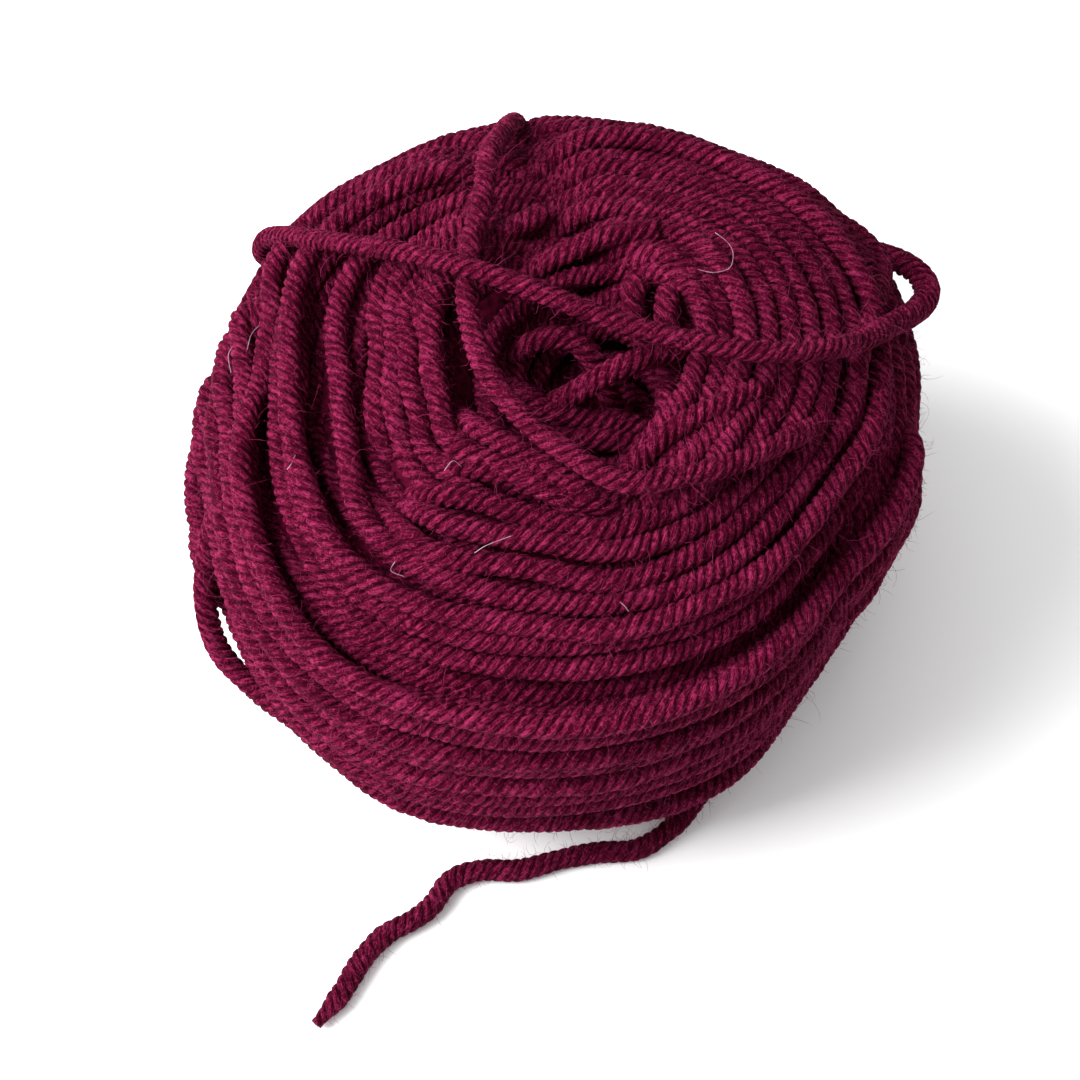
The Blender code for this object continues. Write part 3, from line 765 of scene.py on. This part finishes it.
# Hairs that stand out one by one; points x, y, z in mm
strayHairs = [
    [(19.0, 13.0, 67.0), (20.5, 11.5, 67.0), (21.0, 9.5, 67.5), (20.5, 7.5, 67.5), (18.5, 6.5, 68.0),
     (16.5, 7.0, 68.0)],
    [(-9.5, -29.0, 64.0), (-8.0, -28.5, 65.0), (-5.0, -27.5, 65.5)],
    [(7.0, -34.0, 61.5), (7.5, -34.5, 61.5), (8.0, -35.0, 61.0)],
    [(-37.5, 1.0, 59.5), (-37.0, 3.0, 60.0), (-36.0, 4.0, 60.5)],
    [(-39.5, -1.0, 57.5), (-40.0, 1.5, 57.5), (-39.5, 3.0, 57.5)],
    [(-13.0, -20.0, 67.0), (-12.0, -19.0, 67.5), (-11.0, -19.5, 67.0)],
    [(-17.5, -31.0, 62.0), (-19.0, -30.5, 62.5), (-18.5, -29.5, 63.0)],
    [(-31.5, -17.0, 62.0), (-31.0, -16.5, 62.5), (-30.5, -15.5, 63.0)],
]

coverPoints, coverFaces, reached = [], [], 0
for piece in list(pieces.values()) + [tailPiece]:
    co = np.empty(len(piece.data.vertices) * 3)
    piece.data.vertices.foreach_get("co", co)
    corners = np.empty(len(piece.data.polygons) * 4, int)
    piece.data.loops.foreach_get("vertex_index", corners)
    coverPoints.extend(map(tuple, co.reshape(-1, 3)))
    coverFaces.extend(map(tuple, corners.reshape(-1, 4) + reached))
    reached += len(piece.data.vertices)
cover = BVHTree.FromPolygons(coverPoints, coverFaces)
print("cover for the hairs ready")


def hairMesh(name, line, radii, material):
    # three-sided hairs that end in a point; line holds number x rings x 3 points
    number, rings = line.shape[0], line.shape[1] - 1
    side = unit(np.cross(line[:, 1] - line[:, 0], random.normal(0, 1, (number, 3))))
    body = []
    for ring in range(rings):
        along = unit(line[:, ring + 1] - line[:, ring])
        side = unit(side - along * np.sum(side * along, axis=1, keepdims=True))
        up = np.cross(along, side)
        body.append(np.stack([line[:, ring] + radii[ring] * (side * math.cos(turn) + up * math.sin(turn))
                              for turn in (0, 2 * math.pi / 3, 4 * math.pi / 3)], axis=1))
    vertices = np.concatenate([np.stack(body, axis=1).reshape(number, rings * 3, 3), line[:, -1:, :]], axis=1)
    faces = []
    for ring in range(rings - 1):
        for corner in range(3):
            here, there = ring * 3 + corner, ring * 3 + (corner + 1) % 3
            faces += [(here, there, there + 3), (here, there + 3, here + 3)]
    base = (rings - 1) * 3
    faces += [(base + corner, base + (corner + 1) % 3, rings * 3) for corner in range(3)]
    faces.append((2, 1, 0))
    faces = (np.array(faces)[None] + (np.arange(number) * (rings * 3 + 1))[:, None, None]).reshape(-1, 3)
    points = vertices.reshape(-1, 3)
    mesh = bpy.data.meshes.new(name)
    mesh.vertices.add(len(points))
    mesh.vertices.foreach_set("co", points.ravel())
    mesh.loops.add(len(faces) * 3)
    mesh.loops.foreach_set("vertex_index", faces.ravel())
    mesh.polygons.add(len(faces))
    mesh.polygons.foreach_set("loop_start", np.arange(len(faces)) * 3)
    mesh.update(calc_edges=True)
    mesh.shade_smooth()
    mesh.materials.append(material)
    piece = bpy.data.objects.new(name, mesh)
    bpy.context.scene.collection.objects.link(piece)
    print(name, len(faces), "triangles")
    return piece


def makeFuzz(name, sources, kind, material):
    # thin curved hairs that leave the yarn where nothing lies over it
    starts, normals, axes = [], [], []
    for source in sources:
        mesh = source.data
        positions = np.empty(len(mesh.vertices) * 3)
        mesh.vertices.foreach_get("co", positions)
        facing = np.empty(len(mesh.vertices) * 3)
        mesh.vertices.foreach_get("normal", facing)
        positions, facing = positions.reshape(-1, 3), facing.reshape(-1, 3)
        starts.append(positions)
        normals.append(facing)
        axes.append(unit(np.roll(positions, -yarn["ringPoints"], axis=0) - positions))
    starts, normals, axes = np.vstack(starts), np.vstack(normals), np.vstack(axes)
    chosen = []
    for index in random.permutation(len(starts)):
        if starts[index][2] < 1.2 * mm:
            continue
        outward = unit(normals[index] + 0.6 * unit(starts[index] - ballCentre))
        if cover.ray_cast(Vector(starts[index] + outward * 0.25 * mm), Vector(outward), 4 * mm)[0] is None:
            chosen.append(index)
        if len(chosen) == kind["hairs"]:
            break
    start, normal, axis = starts[chosen], normals[chosen], axes[chosen]
    number, segments = len(chosen), kind["segments"]
    lengths = kind["length"] * np.exp(random.normal(0, fuzz["spread"], number))
    lengths = np.clip(lengths, 0, 2.6 * kind["length"])
    sign = np.where(random.random(number) < 0.5, -1.0, 1.0)[:, None]
    heading = unit(axis * sign * random.uniform(0.2, 1.4, number)[:, None]
                   + normal * random.uniform(0.2, 1.1, number)[:, None] + random.normal(0, 0.45, (number, 3)))
    bend = random.normal(0, kind["curl"], (number, 3)) - normal * 0.30
    line = [start - normal * 0.05 * mm]
    for segment in range(segments):
        line.append(line[-1] + heading * (lengths / segments)[:, None])
        heading = unit(heading + bend * (1.9 / segments))
        bend = bend + random.normal(0, 0.35, (number, 3))
    line = np.stack(line, axis=1)
    line[:, :, 2] = np.maximum(line[:, :, 2], 0.1 * mm)
    radii = [kind["thickness"] * (1 - 0.5 * ring / segments) for ring in range(segments)]
    return hairMesh(name, line, radii, material)


fuzzMaterial = makePlain("woolFuzz", [0.55 * value for value in wool["fuzz"]], wool["fuzz"], 500.0, 0.7)
strayMaterial = makePlain("paleHair", (0.30, 0.14, 0.20), (0.55, 0.38, 0.44), 700.0, 0.6)
outerPieces = [pieces[name] for name in ("waistTurns", "backTurns", "frontTurns", "upperTurns")]
fuzzPieces = [makeFuzz("shortFuzz", outerPieces, fuzz["short"], fuzzMaterial),
              makeFuzz("longFuzz", outerPieces, fuzz["long"], fuzzMaterial)]
for number, points in enumerate(strayHairs):
    line = smoothCurve(np.array(points) * mm, np.linspace(0, 1, 17))[None]
    fuzzPieces.append(hairMesh("strayHair" + str(number + 1), line, [0.045 * mm] * 16, strayMaterial))
tailFuzz = makeFuzz("tailFuzz", [tailPiece], fuzz["tail"], fuzzMaterial)

# How the pieces belong

for piece in list(pieces.values()) + [heartPiece] + fuzzPieces:
    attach(piece, "root")
    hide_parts("ball")
for piece in (tailPiece, tailFuzz):
    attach(piece, "root")
    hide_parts("tail")
tuple(tailLine[0])
[tuple(point) for point in tailLine]

# Floor, light and camera

studio = {
    "floorColour": (0.92, 0.92, 0.925), "skyStrength": 0.42,
    "keyPlace": (-0.62, -0.06, 0.62), "keySize": 0.60, "keyPower": 19.0,
    "floorLight": 1.3,
}
bpy.ops.mesh.primitive_plane_add(size=6.0, location=(0, 0, 0))
floor = bpy.context.object
floor.name = "floor"
floor.data.materials.append(makePlain("paleFloor", studio["floorColour"], studio["floorColour"], 20.0, 0.8))

world = bpy.data.worlds.new("studioSky")
bpy.context.scene.world = world
world.use_nodes = True
world.node_tree.nodes["Background"].inputs["Color"].default_value = (1, 1, 1, 1)
world.node_tree.nodes["Background"].inputs["Strength"].default_value = studio["skyStrength"]

keyLight = bpy.data.lights.new("keyLight", "AREA")
keyLight.energy = studio["keyPower"]
keyLight.size = studio["keySize"]
keyObject = bpy.data.objects.new("keyLight", keyLight)
keyObject.location = studio["keyPlace"]
towardsBall = Vector((0, 0, 0.03)) - Vector(studio["keyPlace"])
keyObject.rotation_euler = towardsBall.to_track_quat("-Z", "Y").to_euler()
bpy.context.scene.collection.objects.link(keyObject)

# a light that reaches only the floor, so that the ball's shadow stays pale
floorLight = bpy.data.lights.new("floorLight", "SUN")
floorLight.energy = studio["floorLight"]
floorLight.angle = math.radians(60)
floorLightObject = bpy.data.objects.new("floorLight", floorLight)
bpy.context.scene.collection.objects.link(floorLightObject)
litByIt = bpy.data.collections.new("floorOnly")
litByIt.objects.link(floor)
floorLightObject.light_linking.receiver_collection = litByIt

# ballAt is the pixel of the photograph where the ball's centre falls, in a frame of that many pixels
cameraSetup = {"elevation": 62.0, "distance": 0.312, "lens": 80.0, "ballAt": (556.0, 462.6), "frame": 1080.0}
elevation = math.radians(cameraSetup["elevation"])
pixelFocus = cameraSetup["frame"] * cameraSetup["lens"] / 36
back = Vector((0, -math.cos(elevation), math.sin(elevation)))
right = Vector((1, 0, 0))
up = back.cross(right)
across = (cameraSetup["ballAt"][0] - cameraSetup["frame"] / 2) / pixelFocus
upward = -(cameraSetup["ballAt"][1] - cameraSetup["frame"] / 2) / pixelFocus
cameraData = bpy.data.cameras.new("camera")
cameraData.lens = cameraSetup["lens"]
cameraData.sensor_width = 36
camera = bpy.data.objects.new("camera", cameraData)
camera.location = Vector(ballCentre) + (back - right * across - up * upward) * cameraSetup["distance"]
camera.rotation_euler = (math.pi / 2 - elevation, 0, 0)
bpy.context.scene.collection.objects.link(camera)
bpy.context.scene.camera = camera
bpy.context.scene.view_settings.view_transform = "Standard"
